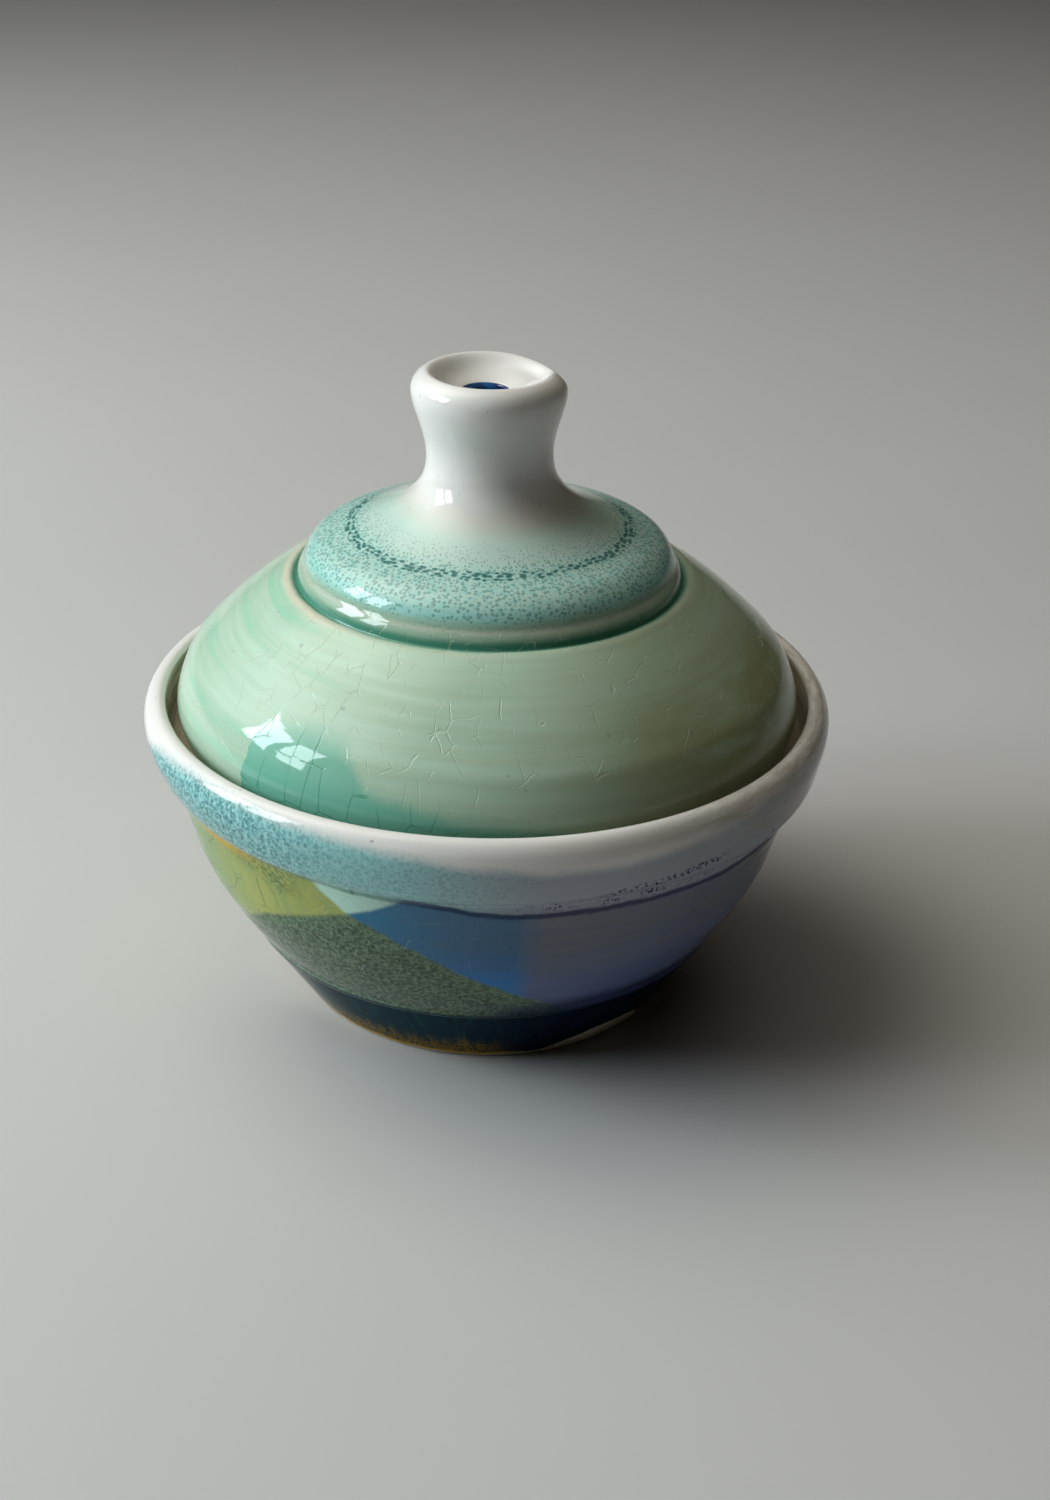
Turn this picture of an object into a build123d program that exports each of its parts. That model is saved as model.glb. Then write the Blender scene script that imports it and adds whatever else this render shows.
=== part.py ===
"""Yarn bowl: a wheel-thrown ceramic bowl and its lift-off lid, whose hollow knob lets the yarn out.

Millimetres, +Z up. The origin is on the table, under the middle of the foot, and +Z is the throwing axis.
Each piece is a closed section in the XZ plane, as radius and height, turned about Z.
"""

import os

from build123d import *

# Bowl, outside
RIM_R = 80.0  # widest radius of the rolled rim
RIM_TOP = 75.2  # crest of the rim above the table
RIM_WIDEST_Z = 70.0
COLLAR_R = 74.4  # notch where the rolled rim meets the wall
COLLAR_Z = 57.9
RIDGE_R = 57.2  # turned line where the wall meets the foot
RIDGE_Z = 19.6
RIDGE_STEP = 0.6
FOOT_R = 45.0

# Bowl, inside and underneath
FOOT_RING_W = 8.0  # width of the ring that stands on the table
FOOT_RECESS = 4.0  # hollow under the base
BASE_T = 6.5
WALL_T = 5.5
LEDGE_Z = 66.0  # shelf inside the rim that carries the lid
LEDGE_IN_R = 66.8
LEDGE_OUT_R = 73.8
EDGE_R = 1.0  # softened edges of the ledge and of the foot ring

# Lid, outside
LID_R = 72.0
LID_WIDEST_Z = 75.2
LID_SEAT_OUT_R = 70.2
LID_SEAT_IN_R = 67.2
GROOVE_R = 44.1  # turned groove between the dome and the raised shoulder
GROOVE_Z = 102.5
SHOULDER_R = 43.5
SHOULDER_TOP_R = 34.0
SHOULDER_TOP_Z = 113.4
WAIST_R = 14.0  # narrowest part of the knob
WAIST_Z = 131.0
LIP_R = 17.2  # outside of the rounded lip
LIP_ROLL_R = 4.3
LIP_TOP = 150.0

# Lid, inside
CHIMNEY_R = 8.0
CHIMNEY_FOOT_Z = 121.0
CHIMNEY_TOP_Z = 139.5
THROAT_R = 5.5  # hole that the yarn runs through
THROAT_LOW_Z = 142.5
THROAT_HIGH_Z = 146.2

# Thumb dip in the knob's lip
DIP_DEPTH = 1.8
DIP_CUT_R = 13.0
DIP_ANGLE = 25.0
DIP_EDGE_R = 1.2


# ---------------------------------------------------------------- bowl
base_top = FOOT_RECESS + BASE_T
ring_in_r = FOOT_R - FOOT_RING_W

with BuildPart() as bowl:
    with BuildSketch(Plane.XZ) as bowl_section:
        with BuildLine():
            # Underside: the recess, the ring's flat and the tapered foot, up to the turned ridge.
            Polyline(
                (0, FOOT_RECESS),
                (ring_in_r - 3, FOOT_RECESS),
                (ring_in_r, 0),
                (FOOT_R - 0.8, 0),
                (FOOT_R, 0.9),
            )
            Line((FOOT_R, 0.9), (RIDGE_R - RIDGE_STEP, RIDGE_Z - 1))
            Line((RIDGE_R - RIDGE_STEP, RIDGE_Z - 1), (RIDGE_R, RIDGE_Z))
            # Wall, swelling from the ridge to the notch under the rolled rim.
            Spline(
                (RIDGE_R, RIDGE_Z),
                (RIDGE_R + 8.4, 33),
                (RIDGE_R + 12.2, 42.5),
                (RIDGE_R + 14.9, 51),
                (COLLAR_R - 0.6, COLLAR_Z - 0.7),
            )
            Line((COLLAR_R - 0.6, COLLAR_Z - 0.7), (COLLAR_R, COLLAR_Z))
            # Rolled rim: undercut, widest line, crest and the short fall to the ledge.
            Spline(
                (COLLAR_R, COLLAR_Z),
                (RIM_R - 2.9, 60.6),
                (RIM_R - 1.2, 64.3),
                (RIM_R, RIM_WIDEST_Z),
                (RIM_R - 1.1, RIM_TOP - 1.6),
                (RIM_R - 3.7, RIM_TOP),
                (RIM_R - 5.4, RIM_TOP - 1.2),
                tangents=((1.0, 0.35), (-0.5, -1.0)),
            )
            Line((RIM_R - 5.4, RIM_TOP - 1.2), (LEDGE_OUT_R, LEDGE_Z))
            Line((LEDGE_OUT_R, LEDGE_Z), (LEDGE_IN_R, LEDGE_Z))
            # Inside wall, one wall thickness in from the outside, down to the floor of the bowl.
            Spline(
                (LEDGE_IN_R, LEDGE_Z),
                (RIDGE_R + 14.9 - WALL_T, 51),
                (RIDGE_R + 8.4 - WALL_T, 36.4),
                (RIDGE_R - 3.4, 26.4),
                (FOOT_R - 3.0, base_top + 6.0),
                (FOOT_R - 20.0, base_top + 1.2),
                (0, base_top),
                tangents=((0.1, -1.0), (-1.0, 0.0)),
            )
            Line((0, base_top), (0, FOOT_RECESS))
        make_face()
    revolve(axis=Axis.Z)
    # Soften the edges a hand and a cleaning cloth meet: the ledge's inner corner and the foot ring.
    rings = bowl.edges().filter_by(GeomType.CIRCLE)
    ledge_corner = rings.filter_by_position(Axis.Z, LEDGE_Z - 0.01, LEDGE_Z + 0.01).sort_by(SortBy.RADIUS)[0]
    foot_corner = rings.filter_by_position(Axis.Z, -0.01, 0.01).sort_by(SortBy.RADIUS)[0]
    fillet([ledge_corner, foot_corner], EDGE_R)

bowl.part.label = "bowl"

# ---------------------------------------------------------------- lid
lip_centre_r = LIP_R - LIP_ROLL_R
lip_centre_z = LIP_TOP - LIP_ROLL_R

with BuildPart() as lid:
    with BuildSketch(Plane.XZ) as lid_section:
        with BuildLine():
            # Seat: the flat that rests on the bowl's ledge, and the edge that curls out to the dome.
            Line((LID_SEAT_IN_R, LEDGE_Z), (LID_SEAT_OUT_R, LEDGE_Z))
            Spline(
                (LID_SEAT_OUT_R, LEDGE_Z),
                (LID_R - 0.5, 70.0),
                (LID_R, LID_WIDEST_Z),
                (LID_R - 3.2, 82.2),
                (64.6, 88.0),
                (54.0, 97.5),
                (GROOVE_R + 2.6, 102.4),
                (GROOVE_R + 0.9, 102.8),
                (GROOVE_R, GROOVE_Z),
                tangents=((0.4, 1.0), (-1.0, -0.9)),
            )
            # Raised shoulder above the groove, then the long flare up into the knob.
            Spline(
                (GROOVE_R, GROOVE_Z),
                (SHOULDER_R, GROOVE_Z + 1.4),
                (SHOULDER_R - 1.4, 107.6),
                (SHOULDER_R - 3.6, 110.5),
                (SHOULDER_TOP_R, SHOULDER_TOP_Z),
                (27.0, 116.1),
                (21.0, 119.3),
                (16.9, 122.9),
                (WAIST_R + 0.7, 126.4),
                (WAIST_R, WAIST_Z),
                (WAIST_R + 0.4, 135.0),
                (LIP_R - 1.5, 139.4),
                (LIP_R, lip_centre_z),
                tangents=((-0.6, 1.0), (0.0, 1.0)),
            )
            # Rounded lip, then the dished funnel down to the throat.
            lip_roll = CenterArc((lip_centre_r, lip_centre_z), LIP_ROLL_R, 0, 115)
            Spline(
                lip_roll @ 1,
                (THROAT_R + 2.4, 147.5),
                (THROAT_R, THROAT_HIGH_Z),
                tangents=(lip_roll % 1, (-0.5, -1.0)),
            )
            Line((THROAT_R, THROAT_HIGH_Z), (THROAT_R, THROAT_LOW_Z))
            # Chimney bore and the inside of the dome, one wall thickness in from the outside.
            Line((THROAT_R, THROAT_LOW_Z), (CHIMNEY_R, CHIMNEY_TOP_Z))
            Line((CHIMNEY_R, CHIMNEY_TOP_Z), (CHIMNEY_R, CHIMNEY_FOOT_Z))
            Spline(
                (CHIMNEY_R, CHIMNEY_FOOT_Z),
                (CHIMNEY_R + 4.5, 114.4),
                (22.0, 110.0),
                (32.0, 105.2),
                (42.0, 98.6),
                (52.0, 92.0),
                (60.6, 84.2),
                (65.0, 79.0),
                (LID_SEAT_IN_R, LID_WIDEST_Z - 2.4),
                tangents=((0.0, -1.0), (0.1, -1.0)),
                tangent_scalars=(1.0, 0.5),
            )
            Line((LID_SEAT_IN_R, LID_WIDEST_Z - 2.4), (LID_SEAT_IN_R, LEDGE_Z))
        make_face()
    revolve(axis=Axis.Z)
    # Thumb dip: a shallow trough across the lip, drawn where its axis points outwards.
    dip_plane = Plane(
        origin=Vector(lip_centre_r - 7, 0, LIP_TOP - DIP_DEPTH + DIP_CUT_R).rotate(Axis.Z, DIP_ANGLE),
        z_dir=Vector(1, 0, -0.1).rotate(Axis.Z, DIP_ANGLE),
    )
    before_dip = lid.edges()
    with BuildSketch(dip_plane):
        Circle(DIP_CUT_R)
    extrude(amount=20, mode=Mode.SUBTRACT)
    fillet(lid.edges() - before_dip, DIP_EDGE_R)

lid.part.label = "lid"

# ---------------------------------------------------------------- files
os.makedirs("parts", exist_ok=True)
for piece in (bowl.part, lid.part):
    export_step(piece, f"parts/{piece.label}.step")
    print(piece.label, "volume", round(piece.volume), "size", piece.bounding_box().size)
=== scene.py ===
"""Looks of the yarn bowl: two thrown, glazed meshes, with a pale floor, soft light and a camera.

Scene units are metres. Each pot is drawn as its section, in mm of radius and height, and scaled once.
A turn is an angle round the pot in degrees: 0 at the front (-Y), 90 at the right (+X), 180 at the back.
"""

import math

import bpy
import numpy as np
from mathutils import Matrix, Vector


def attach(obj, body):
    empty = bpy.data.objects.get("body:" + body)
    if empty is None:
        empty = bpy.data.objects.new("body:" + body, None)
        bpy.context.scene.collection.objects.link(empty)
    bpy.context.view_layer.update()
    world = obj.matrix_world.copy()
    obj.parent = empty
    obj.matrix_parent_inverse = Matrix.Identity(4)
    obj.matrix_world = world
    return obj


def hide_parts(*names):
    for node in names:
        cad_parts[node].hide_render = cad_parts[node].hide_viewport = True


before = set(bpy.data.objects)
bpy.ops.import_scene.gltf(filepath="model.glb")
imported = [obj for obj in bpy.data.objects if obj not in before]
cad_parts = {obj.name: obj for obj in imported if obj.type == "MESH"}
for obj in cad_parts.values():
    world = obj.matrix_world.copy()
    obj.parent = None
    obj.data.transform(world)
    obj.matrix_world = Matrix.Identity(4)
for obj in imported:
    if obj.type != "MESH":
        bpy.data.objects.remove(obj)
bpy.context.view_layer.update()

MM = 0.001
SEGMENTS = 288  # faces round each pot


# ---------------------------------------------------------------- drawing and turning the pots
def spline(points, step, start=None, end=None):
    """Points about a step apart on the cubic spline through points, with these directions at its ends."""
    p = np.array(points, float)
    t = np.concatenate([[0], np.cumsum(np.hypot(*np.diff(p, axis=0).T))])
    h = np.diff(t)
    n = len(p)
    matrix = np.eye(n)
    wanted = np.zeros((n, 2))
    for i in range(1, n - 1):
        matrix[i, i - 1] = 1 / h[i - 1]
        matrix[i, i] = 2 / h[i - 1] + 2 / h[i]
        matrix[i, i + 1] = 1 / h[i]
        wanted[i] = 3 * ((p[i] - p[i - 1]) / h[i - 1] ** 2 + (p[i + 1] - p[i]) / h[i] ** 2)
    for i, near, direction in ((0, 1, start), (n - 1, n - 2, end)):
        if direction is None:
            matrix[i, near] = 0.5
            wanted[i] = 1.5 * (p[near] - p[i]) / (t[near] - t[i])
        else:
            wanted[i] = np.array(direction, float) / np.hypot(*direction)
    slope = np.linalg.solve(matrix, wanted)
    fine = np.linspace(0, t[-1], max(2, round(t[-1] / step) + 1))
    i = np.clip(np.searchsorted(t, fine, side="right") - 1, 0, n - 2)
    u = ((fine - t[i]) / h[i])[:, None]
    width = h[i][:, None]
    return (
        (2 * u**3 - 3 * u**2 + 1) * p[i]
        + (u**3 - 2 * u**2 + u) * width * slope[i]
        + (3 * u**2 - 2 * u**3) * p[i + 1]
        + (u**3 - u**2) * width * slope[i + 1]
    )


def line(a, b, step):
    """Points about a step apart from a to b."""
    count = max(2, round(math.dist(a, b) / step) + 1)
    return np.linspace(a, b, count)


def arc(centre, radius, first, last, step):
    """Points about a step apart on an arc between two angles in degrees."""
    count = max(3, round(radius * math.radians(abs(last - first)) / step) + 1)
    angle = np.radians(np.linspace(first, last, count))
    return np.stack([centre[0] + radius * np.cos(angle), centre[1] + radius * np.sin(angle)], 1)


class Outline:
    """A pot's section, drawn stroke by stroke. Each stroke has a skin and may name its end."""

    def __init__(self):
        self.points = []
        self.skins = []
        self.ends = {}

    def draw(self, stroke, skin, name=None):
        fresh = stroke[1:] if self.points else stroke
        self.skins += [skin] * (len(stroke) - 1)
        self.points += [tuple(p) for p in fresh]
        if name:
            self.ends[name] = len(self.points) - 1

    def along(self, origin):
        """Distance of each point along the section, counted from the named place."""
        p = np.array(self.points)
        run = np.concatenate([[0], np.cumsum(np.hypot(*np.diff(p, axis=0).T))])
        return run - run[self.ends[origin]]


def smooth(value, low, high):
    """0 below low, 1 above high, and a smooth rise between them."""
    t = np.clip((value - low) / (high - low), 0, 1)
    return t * t * (3 - 2 * t)


def turned(name, outline, origin, shape, materials, closed):
    """The outline turned about Z as a mesh with those materials.

    shape moves the points. If closed, the outline's last point joins its first; if not, both lie on
    the axis.
    """
    section = np.array(outline.points)
    along = outline.along(origin)
    skins = list(outline.skins)
    if closed:
        section, along = section[:-1], along[:-1]
    turn = np.arange(SEGMENTS) * 2 * np.pi / SEGMENTS
    r, t = np.meshgrid(section[:, 0], turn, indexing="ij")
    z = np.repeat(section[:, 1][:, None], SEGMENTS, 1)
    a = np.repeat(along[:, None], SEGMENTS, 1)
    x, y, z = shape(r, z, a, t)
    points = np.stack([x, y, z], -1)
    rings, verts, count = [], [], 0
    for ring, radius in enumerate(section[:, 0]):
        if radius < 1e-6:
            rings.append([count] * SEGMENTS)
            verts.append(points[ring].mean(0)[None])
            count += 1
        else:
            rings.append(list(range(count, count + SEGMENTS)))
            verts.append(points[ring])
            count += SEGMENTS
    lengths = [len(v) for v in verts]
    verts = np.concatenate(verts) * MM
    faces, skin_of_face = [], []
    steps = len(rings) if closed else len(rings) - 1
    for i in range(steps):
        low, high = rings[i], rings[(i + 1) % len(rings)]
        for j in range(SEGMENTS):
            k = (j + 1) % SEGMENTS
            corners = [low[j], low[k], high[k], high[j]]
            faces.append(list(dict.fromkeys(corners)))
            skin_of_face.append(skins[i])
    mesh = bpy.data.meshes.new(name)
    mesh.from_pydata(verts.tolist(), [], faces)
    mesh.polygons.foreach_set("use_smooth", [True] * len(faces))
    mesh.polygons.foreach_set("material_index", skin_of_face)
    attribute = mesh.attributes.new("along", "FLOAT", "POINT")
    attribute.data.foreach_set("value", np.repeat(along, lengths).astype(np.float32))
    mesh.validate()
    mesh.update()
    for material in materials:
        mesh.materials.append(material)
    piece = bpy.data.objects.new(name, mesh)
    bpy.context.scene.collection.objects.link(piece)
    return piece


# ---------------------------------------------------------------- shader fields
class Field:
    """A number on the surface, worked out by nodes. +, -, * and / make Math nodes."""

    def __init__(self, shader, socket):
        self.shader = shader
        self.socket = socket

    def __add__(self, other):
        return self.shader.math("ADD", self, other)

    def __radd__(self, other):
        return self.shader.math("ADD", other, self)

    def __sub__(self, other):
        return self.shader.math("SUBTRACT", self, other)

    def __rsub__(self, other):
        return self.shader.math("SUBTRACT", other, self)

    def __mul__(self, other):
        return self.shader.math("MULTIPLY", self, other)

    def __rmul__(self, other):
        return self.shader.math("MULTIPLY", other, self)

    def __truediv__(self, other):
        return self.shader.math("DIVIDE", self, other)

    def above(self, level, soft=0.5):
        """1 where the field is above level, 0 below, with an edge of plus or minus soft."""
        return self.shader.rise(self - level, -soft, soft)

    def below(self, level, soft=0.5):
        return 1 - self.above(level, soft)

    def between(self, low, high, soft=0.5):
        return self.above(low, soft) * self.below(high, soft)

    def near(self, level, inner, outer):
        """1 within inner of level, falling to 0 at outer from it."""
        return 1 - self.shader.rise(self.shader.math("ABSOLUTE", self - level), inner, outer)


class Shader:
    """A material with its node tree, and where a point is on the pot, in mm and degrees."""

    def __init__(self, name):
        self.material = bpy.data.materials.new(name)
        self.material.use_nodes = True
        self.tree = self.material.node_tree
        self.tree.nodes.clear()

    def add(self, kind, inputs, output=0, **settings):
        """A node with these settings and inputs, which are fields, sockets or plain values."""
        node = self.tree.nodes.new(kind)
        for key, value in settings.items():
            setattr(node, key, value)
        for key, value in inputs.items():
            if isinstance(value, Field):
                value = value.socket
            if isinstance(value, bpy.types.NodeSocket):
                self.tree.links.new(value, node.inputs[key])
            else:
                node.inputs[key].default_value = value
        return node.outputs[output]

    def math(self, operation, a, b=0.0, c=0.0):
        return Field(self, self.add("ShaderNodeMath", {0: a, 1: b, 2: c}, operation=operation))

    def rise(self, value, low, high):
        """0 at low, 1 at high, and a smooth rise between them."""
        socket = self.add(
            "ShaderNodeMapRange",
            {"Value": value, "From Min": low, "From Max": high},
            interpolation_type="SMOOTHSTEP",
        )
        return Field(self, socket)

    def place(self):
        """Reads the shaded point's x, y, z, radius and turn, and along, its distance on the section."""
        spot = self.add("ShaderNodeTexCoord", {}, output="Object")
        spot = self.add("ShaderNodeVectorMath", {0: spot, "Scale": 1 / MM}, operation="SCALE")
        parts = self.tree.nodes.new("ShaderNodeSeparateXYZ")
        self.tree.links.new(spot, parts.inputs[0])
        self.spot = spot
        self.x, self.y, self.z = (Field(self, s) for s in parts.outputs)
        self.radius = self.math("SQRT", self.x * self.x + self.y * self.y)
        angle = self.math("ARCTAN2", self.x, 0 - self.y)
        self.turn = angle * (180 / math.pi)
        self.along = Field(self, self.add("ShaderNodeAttribute", {}, output="Fac", attribute_name="along"))
        self.side = self.x / self.radius
        self.front = self.y / self.radius

    def vector(self, x, y, z=0.0):
        return self.add("ShaderNodeCombineXYZ", {0: x, 1: y, 2: z})

    def wrapped(self, radius, wide, tall):
        """A seamless pattern space in units of wide and tall mm, wrapped on a cylinder of that radius."""
        return self.vector(self.side * (radius / wide), self.front * (radius / wide), self.along / tall)

    def noise(self, vector, scale=1.0, detail=2.0, roughness=0.5, distortion=0.0):
        socket = self.add(
            "ShaderNodeTexNoise",
            {
                "Vector": vector,
                "Scale": scale,
                "Detail": detail,
                "Roughness": roughness,
                "Distortion": distortion,
            },
            noise_dimensions="3D",
        )
        return Field(self, socket)

    def cells(self, vector, feature="F1", randomness=1.0):
        socket = self.add(
            "ShaderNodeTexVoronoi",
            {"Vector": vector, "Scale": 1.0, "Randomness": randomness},
            output="Distance",
            feature=feature,
            voronoi_dimensions="3D",
        )
        return Field(self, socket)

    def mix(self, factor, a, b):
        """Colour a where factor is 0, and b where it is 1."""
        def colour(c):
            return (*c, 1.0) if isinstance(c, tuple) and len(c) == 3 else c

        node = self.tree.nodes.new("ShaderNodeMix")
        node.data_type = "RGBA"
        node.clamp_factor = True
        for index, value in ((0, factor), (6, colour(a)), (7, colour(b))):
            if isinstance(value, Field):
                value = value.socket
            if isinstance(value, bpy.types.NodeSocket):
                self.tree.links.new(value, node.inputs[index])
            else:
                node.inputs[index].default_value = value
        return node.outputs[2]

    def edge(self, points, value, value_range, result_range, handle="AUTO"):
        """A drawn curve: points are (value, result) pairs between the two ranges."""
        node = self.tree.nodes.new("ShaderNodeFloatCurve")
        low, high = value_range
        floor, ceiling = result_range
        curve = node.mapping.curves[0]
        wanted = [((v - low) / (high - low), (r - floor) / (ceiling - floor)) for v, r in points]
        while len(curve.points) < len(wanted):
            curve.points.new(0.5, 0.5)
        for point, (v, r) in zip(curve.points, wanted):
            point.location = (v, r)
            point.handle_type = handle
        node.mapping.update()
        scaled = (value - low) / (high - low)
        self.tree.links.new(scaled.socket, node.inputs["Value"])
        return Field(self, node.outputs[0]) * (ceiling - floor) + floor

    def turn_edge(self, points, turn, top=160.0, handle="AUTO"):
        """A height that depends on the turn, drawn from -180 to 180 degrees."""
        return self.edge(points, turn, (-180.0, 180.0), (0.0, top), handle)

    def finish(self, colour, roughness, height, specular=0.5):
        """The glossy or bare surface with that colour, roughness and height, in mm."""
        bumps = self.add(
            "ShaderNodeBump", {"Height": height, "Distance": MM, "Strength": 1.0}, output="Normal"
        )
        surface = self.add(
            "ShaderNodeBsdfPrincipled",
            {
                "Base Color": colour,
                "Roughness": roughness,
                "Normal": bumps,
                "IOR": 1.45,
                "Specular IOR Level": specular,
            },
        )
        output = self.tree.nodes.new("ShaderNodeOutputMaterial")
        self.tree.links.new(surface, output.inputs["Surface"])
        return self.material


def crackle(s, wide, tall, width, broken, radius=60.0, warp=0.25, randomness=1.0):
    """Crazed glaze: fine lines round cells wide by tall mm. A higher broken leaves fewer of them."""
    space = s.wrapped(radius, wide, tall)
    push = s.add("ShaderNodeTexNoise", {"Vector": space, "Scale": 1.3, "Detail": 1.0}, output="Color")
    push = s.add("ShaderNodeVectorMath", {0: push, 1: (0.5, 0.5, 0.5)}, operation="SUBTRACT")
    push = s.add("ShaderNodeVectorMath", {0: push, "Scale": warp * 2}, operation="SCALE")
    space = s.add("ShaderNodeVectorMath", {0: space, 1: push}, operation="ADD")
    cells = s.cells(space, feature="DISTANCE_TO_EDGE", randomness=randomness)
    lines = 1 - s.rise(cells, width * 0.4, width)
    gaps = s.noise(s.wrapped(radius, wide * 0.8, tall * 0.8), scale=1.0, detail=1.0)
    return lines * s.rise(gaps, broken - 0.06, broken + 0.06)


def spots(s, radius, wide, tall, size):
    """Scattered specks wide by tall mm apart, as 1 inside and 0 outside.

    size gives their radius, in cells, from how far along the section their middle is.
    """
    space = s.wrapped(radius, wide, tall)
    cells = s.add("ShaderNodeTexVoronoi", {"Vector": space, "Scale": 1.0, "Randomness": 0.8}).node
    middle = s.add("ShaderNodeSeparateXYZ", {0: cells.outputs["Position"]}, output="Z")
    reach = size(Field(s, middle) * tall) + 0.01
    ragged = (s.noise(space, scale=2.5, detail=1.0) - 0.5) * 0.25
    return 1 - s.rise(Field(s, cells.outputs["Distance"]) + ragged, reach * 0.6, reach)


# ---------------------------------------------------------------- glaze colours (linear)
WHITE = (0.79, 0.77, 0.74)
CREAM = (0.68, 0.62, 0.49)
PINKISH = (0.66, 0.59, 0.53)
PALE_MINT = (0.50, 0.66, 0.58)
SAGE = (0.40, 0.54, 0.40)
MINT = (0.45, 0.62, 0.48)
STRAW = (0.54, 0.60, 0.43)
JADE = (0.30, 0.60, 0.43)
# olive-taupe, also used as painted shade on the dome's right side
OLIVE_TAUPE_SHADE = (0.25, 0.25, 0.10)
PATCH_TOP = (0.17, 0.46, 0.35)
PATCH_LOW = (0.09, 0.40, 0.30)
TEAL_LINE = (0.035, 0.23, 0.155)
TEAL_DOT = (0.02, 0.14, 0.13)
AQUA = (0.33, 0.64, 0.58)
GREY_GREEN = (0.32, 0.46, 0.34)
INSIDE_BLUE = (0.012, 0.022, 0.11)
CHARTREUSE = (0.41, 0.44, 0.13)
MOSS = (0.22, 0.36, 0.15)
FERN = (0.05, 0.11, 0.03)
AMBER = (0.60, 0.38, 0.05)
PALE_AQUA = (0.54, 0.82, 0.69)
BLUE_TEAL = (0.040, 0.19, 0.33)
SLATE_BLUE = (0.088, 0.18, 0.30)
COBALT = (0.040, 0.21, 0.56)
SLATE_TOP = (0.19, 0.205, 0.235)
SLATE_LOW = (0.135, 0.168, 0.305)
MOTTLE_LIGHT = (0.185, 0.27, 0.18)
MOTTLE_DARK = (0.055, 0.09, 0.06)
NAVY = (0.006, 0.012, 0.07)
FOOT_TEAL = (0.002, 0.032, 0.046)
# near-black, used as painted shade on the foot's right side
FOOT_SHADE_BLACK = (0.001, 0.003, 0.018)
FOOT_GOLD = (0.24, 0.14, 0.01)
RIM_TURQUOISE = (0.06, 0.27, 0.28)
RIM_AQUA = (0.33, 0.64, 0.63)
LAVENDER = (0.33, 0.36, 0.42)
KHAKI = (0.28, 0.245, 0.155)
CLAY = (0.60, 0.52, 0.38)
CLAY_TAN = (0.20, 0.14, 0.07)

GLOSS = 0.02
RAW = 0.85


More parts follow.
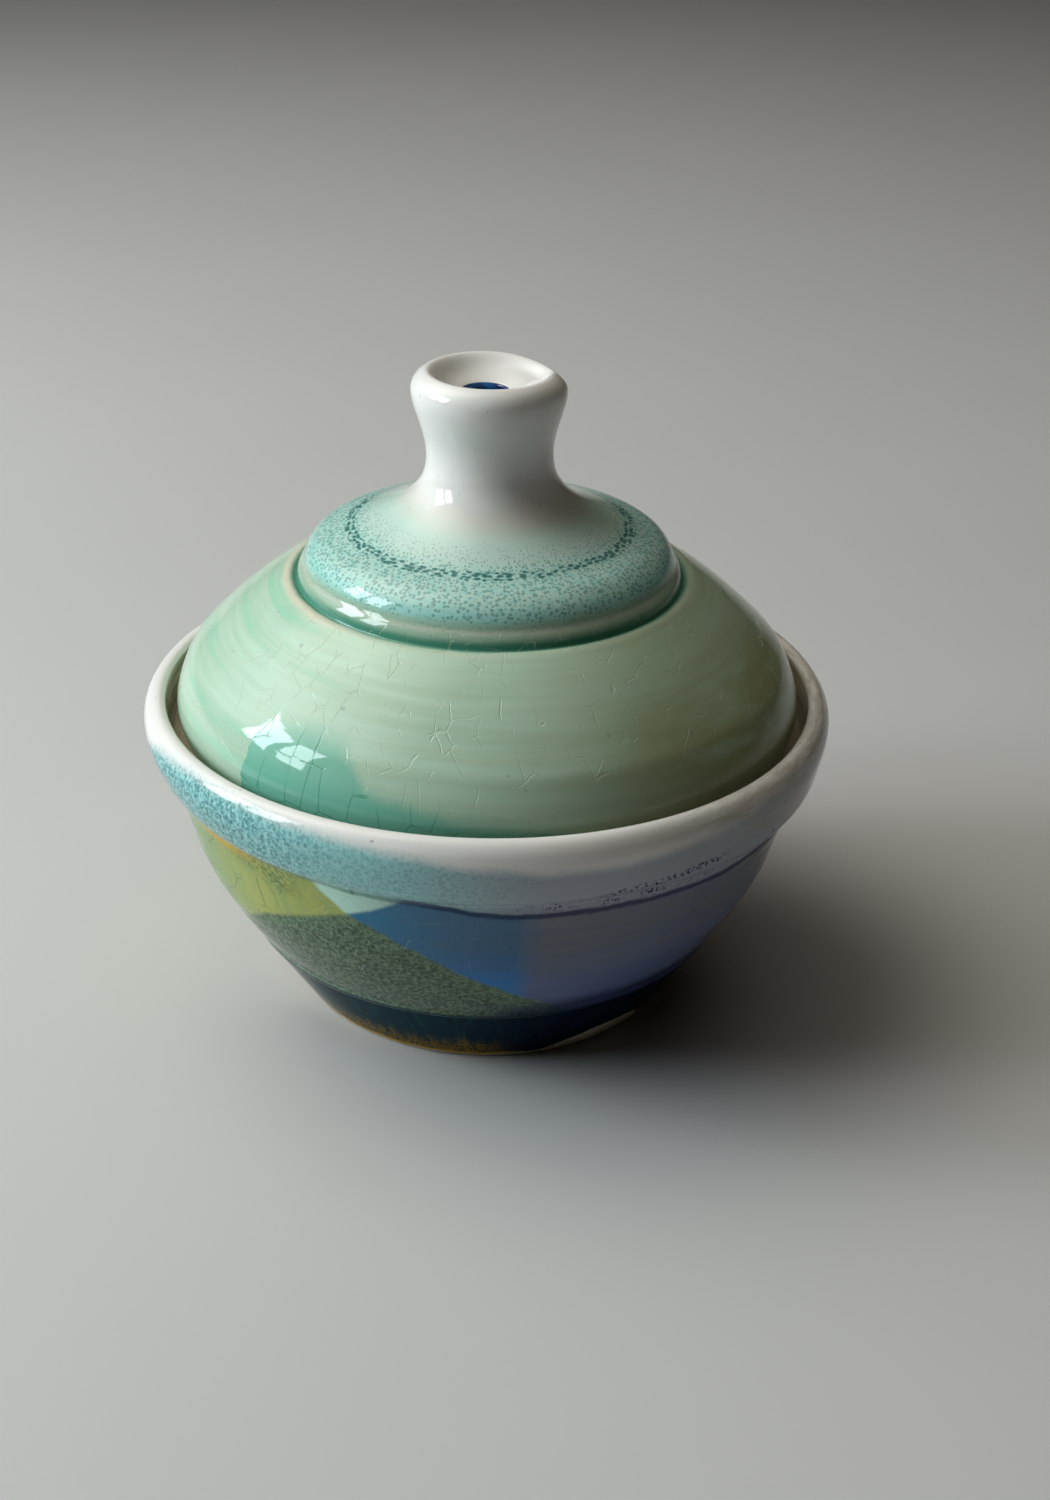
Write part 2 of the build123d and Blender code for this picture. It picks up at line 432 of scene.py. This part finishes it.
def lid_glaze():
    """The lid's outside: white knob, speckled aqua shoulder, sage dome and one darker patch."""
    s = Shader("lid_glaze_outside")
    s.place()
    wander = s.noise(s.wrapped(60, 9, 9), detail=3.0) - 0.5
    up = s.along + wander * 1.6

    # Dome: bands laid down by the brush as the wheel turned, jade towards the left, olive low on the right.
    tilted = s.along + s.side * 1.2
    bands = s.noise(s.vector(s.side * 1.1, s.front * 1.1, tilted * 0.30), detail=3.0, roughness=0.55)
    fine = s.noise(s.vector(s.side * 2.4, s.front * 2.4, tilted * 1.3), detail=3.0, roughness=0.6)
    dome = s.mix(s.rise(bands, 0.32, 0.68), SAGE, MINT)
    dome = s.mix(s.rise(fine, 0.50, 0.80) * 0.45, dome, STRAW)
    jade = s.turn.between(-120, -38, 22) * s.rise(bands, 0.52, 0.34)
    dome = s.mix(jade * 0.8, dome, JADE)
    smear = s.noise(s.wrapped(60, 22, 7), detail=2.0)
    low_smear = s.along.near(-33, 6, 22) * s.rise(smear, 0.32, 0.62)
    # Olive-taupe on the right, away from the light: partly glaze colour, partly painted shade.
    olive = s.turn.between(24, 120, 26) * (0.35 + 0.65 * low_smear)
    dome = s.mix(olive * 0.75, dome, OLIVE_TAUPE_SHADE)

    # Patch where a second dip of glaze overlaps.
    turn = s.turn + wander * 4.0
    height = s.z + wander * 2.0
    top = s.turn_edge(
        [
            (-180, 60), (-46.5, 60), (-45.8, 83.0), (-41, 86.2), (-33, 87.6), (-26, 86.6), (-22.5, 83.4),
            (-20, 80), (-14, 77.8), (-6, 76.2), (4, 74.8), (14, 72.5), (40, 60), (180, 60),
        ],
        turn,
        handle="VECTOR",
    )
    patch = (top - height).above(-0.6, 2.6)
    dome = s.mix(patch * 0.8, dome, s.mix(s.z.below(79, 4), PATCH_TOP, PATCH_LOW))

    # Groove, shoulder and knob, by distance up from the groove.
    # Cream bead below the groove, far stronger on the left: the bead's glaze plus a painted highlight where
    # it faces the light.
    bead_and_highlight = up.between(-3.4, -1.2, 0.7)
    colour = s.mix(bead_and_highlight * (0.10 + 0.7 * s.turn.between(-150, -42, 12)), dome, CREAM)
    colour = s.mix(up.above(1.2, 0.5), colour, GREY_GREEN)
    colour = s.mix(up.near(4.0, 0.2, 0.9) * 0.3, colour, PINKISH)
    colour = s.mix(up.above(6.0, 1.4), colour, AQUA)
    veins = s.rise(s.cells(s.wrapped(36, 2.6, 2.6), feature="DISTANCE_TO_EDGE"), 0.28, 0.0)
    colour = s.mix(up.above(8.5, 2.5) * (0.25 + 0.45 * veins), colour, PALE_MINT)
    colour = s.mix(up.above(21.5, 2.5), colour, PALE_MINT)
    colour = s.mix(up.above(31, 4.0) * 0.7, colour, PINKISH)
    colour = s.mix(up.above(36, 5.0), colour, WHITE)

    def speck_size(middle):
        curve = [
            (0, 0), (4.5, 0), (7, 0.46), (12, 0.54), (17, 0.50), (21, 0.48), (23, 0.38), (27, 0.22),
            (30, 0), (45, 0),
        ]
        return s.edge(curve, middle, (0.0, 45.0), (0.0, 1.0), "VECTOR")

    specks = spots(s, 36, 0.9, 0.95, speck_size)
    colour = s.mix(specks * 0.5, colour, TEAL_DOT)
    main = spots(s, 31, 1.5, 0.95, lambda middle: 0.62 * middle.near(18.6, 0.8, 1.9))
    colour = s.mix(main * 0.9, colour, TEAL_DOT)
    tiny = spots(s, 33, 0.8, 0.8, lambda middle: 0.36 * middle.between(3.0, 28.0, 2.0))
    colour = s.mix(tiny * 0.22, colour, TEAL_DOT)
    colour = s.mix((s.along + wander * 0.8).near(0.4, 0.6, 2.5) * 0.9, colour, TEAL_LINE)

    pits = spots(s, 45, 6, 6, lambda middle: 0.055)
    colour = s.mix(pits * 0.4, colour, SLATE_TOP)

    lines = crackle(s, 5.0, 8.0, 0.022, 0.52, warp=0.16) * up.below(4, 1) * (1 - patch)
    patch_lines = crackle(s, 5.5, 10.0, 0.024, 0.46, warp=0.06, randomness=0.45) * patch
    colour = s.mix(lines * 0.30, colour, STRAW)
    colour = s.mix(patch_lines * 0.5, colour, TEAL_LINE)
    height = fine * 0.01 + bands * 0.015 - lines * 0.055 - patch_lines * 0.04 + specks * 0.01
    return s.finish(colour, GLOSS + 0.02 * fine, height)


def bowl_glaze(name, specular):
    """The bowl's outside: dips of olive, grey-green, cobalt and slate under a white rolled rim."""
    s = Shader(name)
    s.place()
    wander = s.noise(s.wrapped(65, 9, 9), detail=4.0, roughness=0.6) - 0.5
    turn = s.turn + wander * 2.4
    z = s.z + wander * 1.8
    bands = s.noise(s.vector(s.side * 1.2, s.front * 1.2, s.along * 0.5), detail=4.0, roughness=0.6)
    fur = s.noise(s.wrapped(65, 0.95, 0.95), detail=3.0, roughness=0.65, distortion=0.4)
    runs = s.noise(s.wrapped(60, 2.2, 14.0), detail=3.0, roughness=0.6)

    # Wall: slate all round, cobalt at the front, pale aqua and olive to the left.
    wall = s.mix((s.z + bands * 16).above(46, 9), SLATE_LOW, SLATE_TOP)
    blue = s.mix((s.z + bands * 16).above(46, 8), COBALT, SLATE_BLUE)
    blue = s.mix(turn.below(-12, 12), blue, BLUE_TEAL)
    streaks = s.rise(s.noise(s.wrapped(70, 30, 1.8), detail=3.0, roughness=0.7), 0.42, 0.68)
    wall = s.mix(streaks * 0.35, wall, SLATE_LOW)
    blue = s.mix(streaks * 0.30, blue, SLATE_BLUE)
    wall = s.mix(turn.between(-60, 8.5, 3.5), wall, blue)
    arc_top = s.turn_edge(
        [
            (-180, 80), (-70, 40), (-23, 50.5), (-18, 53.3), (-13, 57), (-11, 60), (-9.5, 66), (-8, 100),
            (180, 100),
        ],
        turn,
        handle="VECTOR",
    )
    pale = s.mix(turn.above(-18, 6) * 0.4, PALE_AQUA, LAVENDER)
    wall = s.mix((z - arc_top).above(0, 0.7) * turn.above(-120, 3), wall, pale)
    olive_edge = turn + 31 + (z - 60) * 0.85
    olive = s.mix(s.rise(runs, 0.35, 0.8) * 0.6, CHARTREUSE, MOSS)
    olive = s.mix(turn.below(-54, 8) * 0.8, olive, MOSS)
    stain = s.rise(fur, 0.40, 0.60) * turn.between(-60, -33, 5) * (z + (turn + 45) * 0.35).above(54.0, 3.0)
    olive = s.mix(stain * 0.7, olive, FERN)
    back_edge = turn + 152 - (z - 40) * 0.7
    wall = s.mix(olive_edge.below(0, 0.8) * back_edge.above(0, 0.8), wall, olive)
    lower = s.turn_edge(
        [
            (-180, 30), (-150, 16), (-100, 13), (-75, 22), (-57, 31), (-43, 41), (-35, 44.5), (-23, 50.5),
            (-10, 42), (0, 34), (10, 26.5), (18, 21), (34, 12), (90, 8), (118, 26), (150, 47), (166, 39),
            (180, 30),
        ],
        turn,
        handle="VECTOR",
    )
    mottle = s.mix(s.rise(fur, 0.36, 0.66), MOTTLE_DARK, MOTTLE_LIGHT)
    mottle = s.mix((lower - z).below(3.0, 2.0) * 0.12, mottle, MOSS)
    wall = s.mix((lower - z).above(0, 0.8), wall, mottle)
    # Navy low on the wall from the front round to the back-right, away from the light: painted shade.
    wall = s.mix(s.z.below(23.5, 3.0) * turn.between(4, 160, 8) * 0.8, wall, NAVY)

    # Foot: dark glaze that thins to gold, then bare clay.
    foot = s.mix(s.rise(runs, 0.5, 0.8) * 0.3, FOOT_TEAL, TEAL_LINE)
    # Near-black on the foot from the front round to the back-right, away from the light: painted shade.
    foot = s.mix(turn.between(0, 160, 14) * 0.85, foot, FOOT_SHADE_BLACK)
    gold = (s.z - runs * 9).below(1.5, 3.0) * turn.between(-64, 4, 8)
    foot = s.mix(gold * s.rise(fur, 0.36, 0.6), foot, FOOT_GOLD)
    colour = s.mix(s.z.below(19.2, 0.5), wall, foot)
    # Pale mint line along the ridge, on the left side only: a painted highlight where the ridge faces the
    # light.
    colour = s.mix(s.z.near(19.9, 0.2, 0.7) * turn.between(-150, -10, 12) * 0.12, colour, PALE_MINT)
    glaze_end = s.turn_edge(
        [
            (-180, 2), (-140, 3), (-115, 12), (-90, 15), (-70, 15), (-64, 10), (-57, 3.5), (-50, 1.6),
            (-30, 1.2), (15, 1.2), (21, 2.4), (29, 4.4), (39, 6.2), (48, 5.4), (56, 2), (90, 2), (180, 2),
        ],
        s.turn,
        top=20.0,
    )
    bare = (glaze_end + wander - s.z).above(0, 0.3)
    thin = (glaze_end + wander - s.z).near(-0.3, 0.3, 0.9) * turn.between(-66, 10, 6)
    colour = s.mix(thin * 0.7, colour, AMBER)
    colour = s.mix(bare, colour, s.mix(s.rise(fur, 0.5, 0.75) * 0.5, CLAY, CLAY_TAN))

    # Rolled rim: white crest, mottled turquoise to the left that fades to lavender at the right.
    band_low = s.turn_edge(
        [
            (-180, 57), (-60, 59), (-14, 58), (-5, 57), (0, 55.6), (20, 55.2), (50, 54.6), (90, 56),
            (180, 57),
        ],
        s.turn,
    )
    rim = (z - band_low).above(0, 0.4)
    white_low = s.turn_edge(
        [
            (-180, 66), (-110, 62), (-80, 66), (-62, 72.4), (-30, 72.8), (-12, 71.4), (0, 69.5), (15, 68),
            (30, 69), (50, 71.5), (90, 72), (130, 68), (180, 66),
        ],
        turn,
    )
    crest = (z - white_low).above(0, 1.8)
    curd = s.noise(s.wrapped(79, 0.75, 1.1), detail=3.0, roughness=0.6, distortion=0.8)
    turquoise = s.mix(s.rise(curd, 0.36, 0.62), RIM_TURQUOISE, RIM_AQUA)
    turquoise = s.mix(turn.above(-30, 16) * 0.7, turquoise, RIM_AQUA)
    rim_colour = s.mix(turn.between(-84, -3, 15), LAVENDER, turquoise)
    rim_colour = s.mix(turn.between(-130, -76, 8), rim_colour, STRAW)
    rim_colour = s.mix(crest, rim_colour, WHITE)
    brushed = s.noise(s.wrapped(79, 8, 1.3), detail=4.0, roughness=0.75)
    worn = turn.between(34, 150, 18) * s.z.above(63, 3) * (0.06 + 0.42 * s.rise(brushed, 0.36, 0.66))
    rim_colour = s.mix(worn, rim_colour, KHAKI)
    colour = s.mix(rim, colour, rim_colour)
    fleck = spots(s, 79, 1.2, 1.2, lambda middle: 0.45)
    fleck_on = turn.between(-78, 6, 12) * (0.25 + 0.35 * turn.below(-30, 14)) * rim * (1 - crest)
    colour = s.mix(fleck * fleck_on, colour, TEAL_DOT)
    ink = spots(s, 77, 0.9, 1.0, lambda middle: 0.52)
    ink_on = turn.between(-8, 44, 6) * (z - band_low).between(0.6, 3.4, 0.5) * s.rise(wander, -0.05, 0.15)
    ink_on = ink_on + turn.between(20, 42, 3) * (z + (turn - 33) * -0.12).near(61.5, 0.5, 1.3)
    colour = s.mix(ink * ink_on * rim, colour, NAVY)
    amber = turn.between(-92, -44, 6) * s.z.near(58.0, 1.6, 3.4)
    colour = s.mix(amber * 0.9, colour, AMBER)
    # Dark line in the notch under the rolled rim: partly pooled glaze, partly painted shade under the
    # overhang.
    pooled_and_shade = (z - band_low).near(-0.6, 0.3, 1.2) * turn.between(-44, 165, 3)
    colour = s.mix(pooled_and_shade * 0.7, colour, s.mix(turn.above(-14, 3), TEAL_LINE, NAVY))

    pits = spots(s, 70, 7, 7, lambda middle: 0.06)
    colour = s.mix(pits * 0.4, colour, NAVY)

    lines = crackle(s, 5.5, 8.0, 0.022, 0.47, warp=0.08) * s.z.between(22, 60, 2) * turn.between(-90, 4, 8)
    front = turn.above(-35, 4)
    colour = s.mix(lines * (0.5 - 0.4 * front), colour, s.mix(front, FERN, PALE_AQUA))
    height = bands * 0.04 + fur * 0.015 + curd * 0.02 * rim - lines * 0.09 - bare * 0.2
    return s.finish(colour, GLOSS + (RAW - GLOSS) * bare, height, specular)


def inside_glaze():
    """Deep blue liner glaze, as seen down the hole."""
    s = Shader("liner_glaze")
    s.place()
    bands = s.noise(s.vector(s.side * 1.2, s.front * 1.2, s.along * 0.3), detail=4.0)
    specks = s.noise(s.wrapped(40, 1.0, 1.0), detail=3.0, roughness=0.7)
    colour = s.mix(s.rise(bands, 0.35, 0.7), INSIDE_BLUE, COBALT)
    colour = s.mix(s.rise(specks, 0.62, 0.75) * 0.2, colour, PALE_AQUA)
    return s.finish(colour, GLOSS + 0.06 * specks, bands * 0.1)


def rim_glaze():
    """White glaze on the inner face of the rim."""
    s = Shader("white_glaze")
    s.place()
    bands = s.noise(s.vector(s.side * 2, s.front * 2, s.along * 0.6), detail=4.0)
    colour = s.mix(s.rise(bands, 0.35, 0.7), CREAM, KHAKI)
    return s.finish(colour, GLOSS + 0.08 * bands, bands * 0.05)


def bare_clay():
    """Unglazed buff stoneware, where the pots stood in the kiln and where the lid sits."""
    s = Shader("bare_clay")
    s.place()
    grain = s.noise(s.spot, scale=1.6, detail=5.0, roughness=0.7)
    grog = s.cells(s.spot, randomness=1.0)
    colour = s.mix(s.rise(grain, 0.3, 0.7), CLAY, CREAM)
    colour = s.mix(s.rise(grog, 0.18, 0.1) * 0.5, colour, CLAY_TAN)
    return s.finish(colour, RAW + 0.1 * grain, grain * 0.1)


# Skins, numbered as each pot's list of materials is ordered. The lid has the first four.
OUTSIDE, LINER, WHITE_FACE, BARE, WALL, FOOT = range(6)


# ---------------------------------------------------------------- bowl
def bowl_outline():
    """The bowl's section, from the middle of its underside, up the outside and down the inside."""
    o = Outline()
    o.draw(line((0, 4), (33.2, 4), 2.2), BARE)
    o.draw(spline([(33.2, 4), (35.0, 3.3), (36.3, 1.4), (37.6, 0.3), (39, 0)], 0.6, end=(1, 0)), BARE)
    o.draw(line((39, 0), (43.6, 0), 1.2), BARE)
    o.draw(arc((43.8, 1.1), 1.1, -90, -18, 0.4), FOOT, "foot")
    o.draw(line((44.85, 0.76), (56.35, 18.2), 0.6), FOOT)
    o.draw(spline([(56.35, 18.2), (57.0, 19.1), (57.2, 20.0), (57.6, 20.9)], 0.35), WALL, "ridge")
    o.draw(spline([(57.6, 20.9), (65.5, 33), (69.3, 42.5), (72.0, 51), (73.6, 56.6)], 0.55), WALL)
    o.draw(spline([(73.6, 56.6), (73.9, 57.5), (74.6, 58.1)], 0.3, end=(1, 0.6)), OUTSIDE, "notch")
    o.draw(
        spline(
            [
                (74.6, 58.1), (77.0, 60.4), (78.6, 64.3), (79.72, 70), (78.7, 73.5), (76.2, 75.05),
                (74.7, 74.2),
            ],
            0.45,
            start=(1, 0.6),
            end=(-0.5, -1.0),
        ),
        OUTSIDE,
        "crest",
    )
    o.draw(line((74.7, 74.2), (74.0, 67.0), 0.9), WHITE_FACE)
    o.draw(arc((73.2, 66.8), 0.8, 0, -90, 0.4), WHITE_FACE)
    o.draw(line((73.2, 66.0), (68.0, 66.0), 1.2), BARE)
    o.draw(arc((68.0, 65.0), 1.0, 90, 180, 0.4), BARE)
    o.draw(
        spline(
            [(67.0, 65.0), (66.6, 51), (60.1, 36.4), (53.8, 26.4), (42, 16.5), (25, 11.7), (0, 10.5)],
            1.4,
            start=(0.02, -1),
            end=(-1, 0),
        ),
        LINER,
    )
    return o


def bowl_shape(r, z, along, t):
    """How the thrown bowl departs from a true turning: rings, a little warp, a notch that isn't level."""
    wall = smooth(z, 21, 27) * (1 - smooth(z, 50, 56)) * (along > 0)
    rings = 0.03 * np.sin(z * 0.95 + t) + 0.02 * np.sin(z * 1.7 + 2 * np.sin(t) + 1.0)
    soft = 0.16 * np.sin(z * 0.33 + 0.8 + 0.5 * np.sin(t + 1))
    high = smooth(z, 20, 70)
    warp = (0.12 * np.cos(2 * t + 0.8) + 0.06 * np.cos(3 * t - 1.2)) * high
    grow = (rings + soft) * wall + warp
    tilt = smooth(z, 48, 55) * (1 - smooth(z, 61, 67))
    lift = tilt * (-1.2 * np.sin(t) + 0.3 * np.sin(3 * t + 0.5))
    lift += 0.12 * np.sin(2 * t + 2.0) * smooth(z, 70, 74) - 0.12 * smooth(z, 70, 74)
    r = np.where(r > 1e-6, r + grow * (r > 40), r)
    return r * np.sin(t), -r * np.cos(t), z + lift


# ---------------------------------------------------------------- lid
LIP_CENTRE = (12.9, 145.7)
LIP_ROLL = 4.3
DIP_TURN = 112.0
DIP_REACH_BACK = 40.0  # degrees in which the dip fades to about a third, towards the back
DIP_REACH_FRONT = 22.0  # and towards the front
DIP_DEPTH = 1.5
KNOB_LEAN = 0.6


def lid_outline():
    """The lid's section, from its seat up over the dome and the knob, and back down the inside."""
    o = Outline()
    o.draw(line((67.2, 66), (69.6, 66), 0.8), BARE)
    o.draw(arc((69.6, 66.6), 0.6, -90, 0, 0.3), BARE)
    o.draw(
        spline(
            [
                (70.2, 66.6), (71.5, 70.0), (71.9, 75.2), (70.8, 79.0), (69.25, 82.4), (68.15, 84.2),
                (66.6, 86.0), (62.6, 90.0), (54.0, 97.4), (47.6, 101.8), (45.9, 102.6), (44.9, 102.6),
                (44.1, 102.2),
            ],
            0.55,
            start=(0.4, 1.0),
            end=(-1, -0.7),
        ),
        OUTSIDE,
        "groove",
    )
    o.draw(
        spline(
            [
                (44.1, 102.2), (43.75, 103.6), (43.2, 105.0), (42.4, 106.1), (41.95, 107.2), (41.45, 108.5),
                (40.2, 110.3), (37.7, 112.1), (34.0, 113.4), (27.0, 116.1), (21.0, 119.3), (16.9, 122.9),
                (14.7, 126.4), (14.0, 131.0), (14.4, 135.0), (15.7, 139.4), (17.2, 145.7),
            ],
            0.5,
            start=(-0.3, 1.0),
            end=(0, 1),
        ),
        OUTSIDE,
        "lip",
    )
    roll = arc(LIP_CENTRE, LIP_ROLL, 0, 62, 0.4)
    o.draw(roll, OUTSIDE)
    o.draw(
        spline(
            [
                tuple(roll[-1]), (13.8, 149.95), (12.6, 149.5), (11.2, 148.3), (9.2, 146.9), (7.0, 146.0),
                (5.3, 145.4),
            ],
            0.4,
            start=(-0.88, 0.47),
            end=(-1, -0.4),
        ),
        OUTSIDE,
        "hole",
    )
    o.draw(
        spline(
            [(5.3, 145.4), (5.0, 144.8), (5.3, 142.8), (6.6, 140.8), (8.0, 139.0), (8.0, 136.0)],
            0.6,
            start=(-1, -0.4),
        ),
        LINER,
    )
    o.draw(
        spline(
            [
                (8.0, 136.0), (8.0, 121.0), (12.5, 114.4), (22.0, 110.0), (32.0, 105.2), (42.0, 98.6),
                (52.0, 92.0), (60.6, 84.2), (65.0, 79.0), (67.2, 72.8), (67.2, 69.0),
            ],
            1.5,
            start=(0, -1),
            end=(0, -1),
        ),
        LINER,
    )
    o.draw(line((67.2, 69.0), (67.2, 66.0), 1.5), BARE)
    return o


def lid_shape(r, z, along, t):
    """Rings on the dome, a slightly oval and leaning knob, its thumb dip and its off-centre dish."""
    dome = smooth(z, 74, 80) * (1 - smooth(z, 98, 101)) * (along < 0)
    rings = 0.008 * np.sin(z * 0.9 + t) + 0.003 * np.sin(z * 2.1 + 1.5 * np.sin(t + 2))
    warp = 0.10 * np.cos(2 * t - 0.4) * smooth(z, 70, 78)
    r = r + rings * dome + warp * (r > 40)
    away = (np.degrees(t) - DIP_TURN + 180) % 360 - 180
    reach = np.where(away > 0, DIP_REACH_BACK, DIP_REACH_FRONT)
    at_dip = np.exp(-((away / reach) ** 2))
    dip = DIP_DEPTH * at_dip * smooth(z, 145.5, 149.2) * smooth(r, 7, 11)
    swell = 1.018 + 0.012 * np.sin(2 * t + 1.0) * smooth(z, 136, 142)
    swell += 0.075 * at_dip * smooth(z, 146, 148) * smooth(r, 6, 10) * (1 - smooth(r, 13.5, 16.5))
    lean = -KNOB_LEAN * smooth(z, 118, 146) * (r < 30)
    dish = -0.8 * smooth(z, 141, 145) * smooth(12.0 - r, 0, 5)
    r = r * np.where((r < 30) & (z > 121), 1 + (swell - 1) * smooth(z, 121, 128), 1.0)
    return r * np.sin(t) + lean + dish, -r * np.cos(t), z - dip


# ---------------------------------------------------------------- the two pieces
skins = [inside_glaze(), rim_glaze(), bare_clay()]
bowl_skins = [
    bowl_glaze("bowl_glaze_rim", 0.5),
    *skins,
    bowl_glaze("bowl_glaze_wall", 0.12),
    bowl_glaze("bowl_glaze_foot", 0.02),
]
pots = {
    "bowl": (bowl_outline(), "foot", bowl_shape, bowl_skins, False),
    "lid": (lid_outline(), "groove", lid_shape, [lid_glaze(), *skins], True),
}
for node, (outline, origin, shape, materials, closed) in pots.items():
    piece = turned(f"{node}_glazed", outline, origin, shape, materials, closed)
    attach(piece, node)
    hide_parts(node)


# ---------------------------------------------------------------- floor, light and camera
FLOOR_GREYS = (0.53, 0.525, 0.52), (0.57, 0.565, 0.56)
CAMERA_PLACE = (0.00895, -0.4765, 0.2979)
CAMERA_PITCH = 26.82  # degrees below level
CAMERA_ROLL = 1.22
LENS = 54.0  # focal length and sensor size, in mm
SENSOR = 36.0


def make_floor():
    s = Shader("floor")
    spot = s.add("ShaderNodeTexCoord", {}, output="Object")
    cloud = s.noise(spot, scale=6.0, detail=4.0)
    colour = s.mix(cloud, *FLOOR_GREYS)
    material = s.finish(colour, 0.6, cloud * 0.1)
    bpy.ops.mesh.primitive_plane_add(size=8.0)
    floor = bpy.context.object
    floor.name = "floor"
    floor.data.materials.append(material)


def soft_box(name, azimuth, elevation, distance, width, height, power, target, colour, faded=False):
    """A rectangular light facing target, at a turn of azimuth and raised by elevation, in degrees.

    A faded one is brightest in the middle and dark at its edges, so it leaves no outline in the glaze.
    """
    a, e = math.radians(azimuth), math.radians(elevation)
    direction = Vector((math.sin(a) * math.cos(e), -math.cos(a) * math.cos(e), math.sin(e)))
    data = bpy.data.lights.new(name, "AREA")
    data.shape = "RECTANGLE"
    data.size = width
    data.size_y = height
    data.energy = power
    data.color = colour
    if faded:
        data.use_nodes = True
        nodes, links = data.node_tree.nodes, data.node_tree.links
        place = nodes.new("ShaderNodeTexCoord")
        centred = nodes.new("ShaderNodeVectorMath")
        centred.operation = "MULTIPLY_ADD"
        centred.inputs[1].default_value = (2, 2, 0)
        centred.inputs[2].default_value = (-1, -1, 0)
        glow = nodes.new("ShaderNodeTexGradient")
        glow.gradient_type = "SPHERICAL"
        links.new(place.outputs["UV"], centred.inputs[0])
        links.new(centred.outputs[0], glow.inputs[0])
        links.new(glow.outputs["Fac"], nodes["Emission"].inputs["Strength"])
    light = bpy.data.objects.new(name, data)
    light.location = target + direction * distance
    light.rotation_euler = direction.to_track_quat("Z", "Y").to_euler()
    bpy.context.scene.collection.objects.link(light)


def make_light():
    target = Vector((0, 0, 0.09))
    soft_box("window_back", -90.3, 23.5, 1.3, 0.30, 0.56, 7.2, target, (0.80, 0.91, 1.0))
    soft_box("window_front", -72.3, 24.5, 1.3, 0.27, 0.56, 5.6, target, (0.82, 0.95, 1.0))
    soft_box("room_left", -104, 26, 1.6, 1.8, 1.4, 18.0, target, (0.88, 0.96, 1.0), faded=True)
    soft_box("left_fill", -103, 56, 1.25, 1.8, 1.5, 39.0, target, (1.0, 0.98, 0.88), faded=True)
    soft_box("ceiling", 90, 86, 1.6, 2.2, 2.2, 10.0, target, (1.0, 0.90, 0.76), faded=True)
    soft_box("back_fill", 180, 40, 1.6, 1.8, 1.4, 3.0, target, (1.0, 0.85, 0.74), faded=True)
    world = bpy.data.worlds.new("studio")
    world.use_nodes = True
    world.node_tree.nodes["Background"].inputs["Color"].default_value = (1.0, 0.80, 0.62, 1)
    world.node_tree.nodes["Background"].inputs["Strength"].default_value = 0.008
    bpy.context.scene.world = world


def make_camera():
    """Looks along +Y and down, with a slight roll, as the object is seen."""
    data = bpy.data.cameras.new("camera")
    data.sensor_width = SENSOR
    data.lens = LENS
    camera = bpy.data.objects.new("camera", data)
    pitch = Matrix.Rotation(math.radians(90 - CAMERA_PITCH), 4, "X")
    roll = Matrix.Rotation(math.radians(CAMERA_ROLL), 4, "Z")
    camera.matrix_world = Matrix.Translation(CAMERA_PLACE) @ pitch @ roll
    bpy.context.scene.collection.objects.link(camera)
    bpy.context.scene.camera = camera


make_floor()
make_light()
make_camera()
bpy.context.scene.view_settings.view_transform = "Standard"
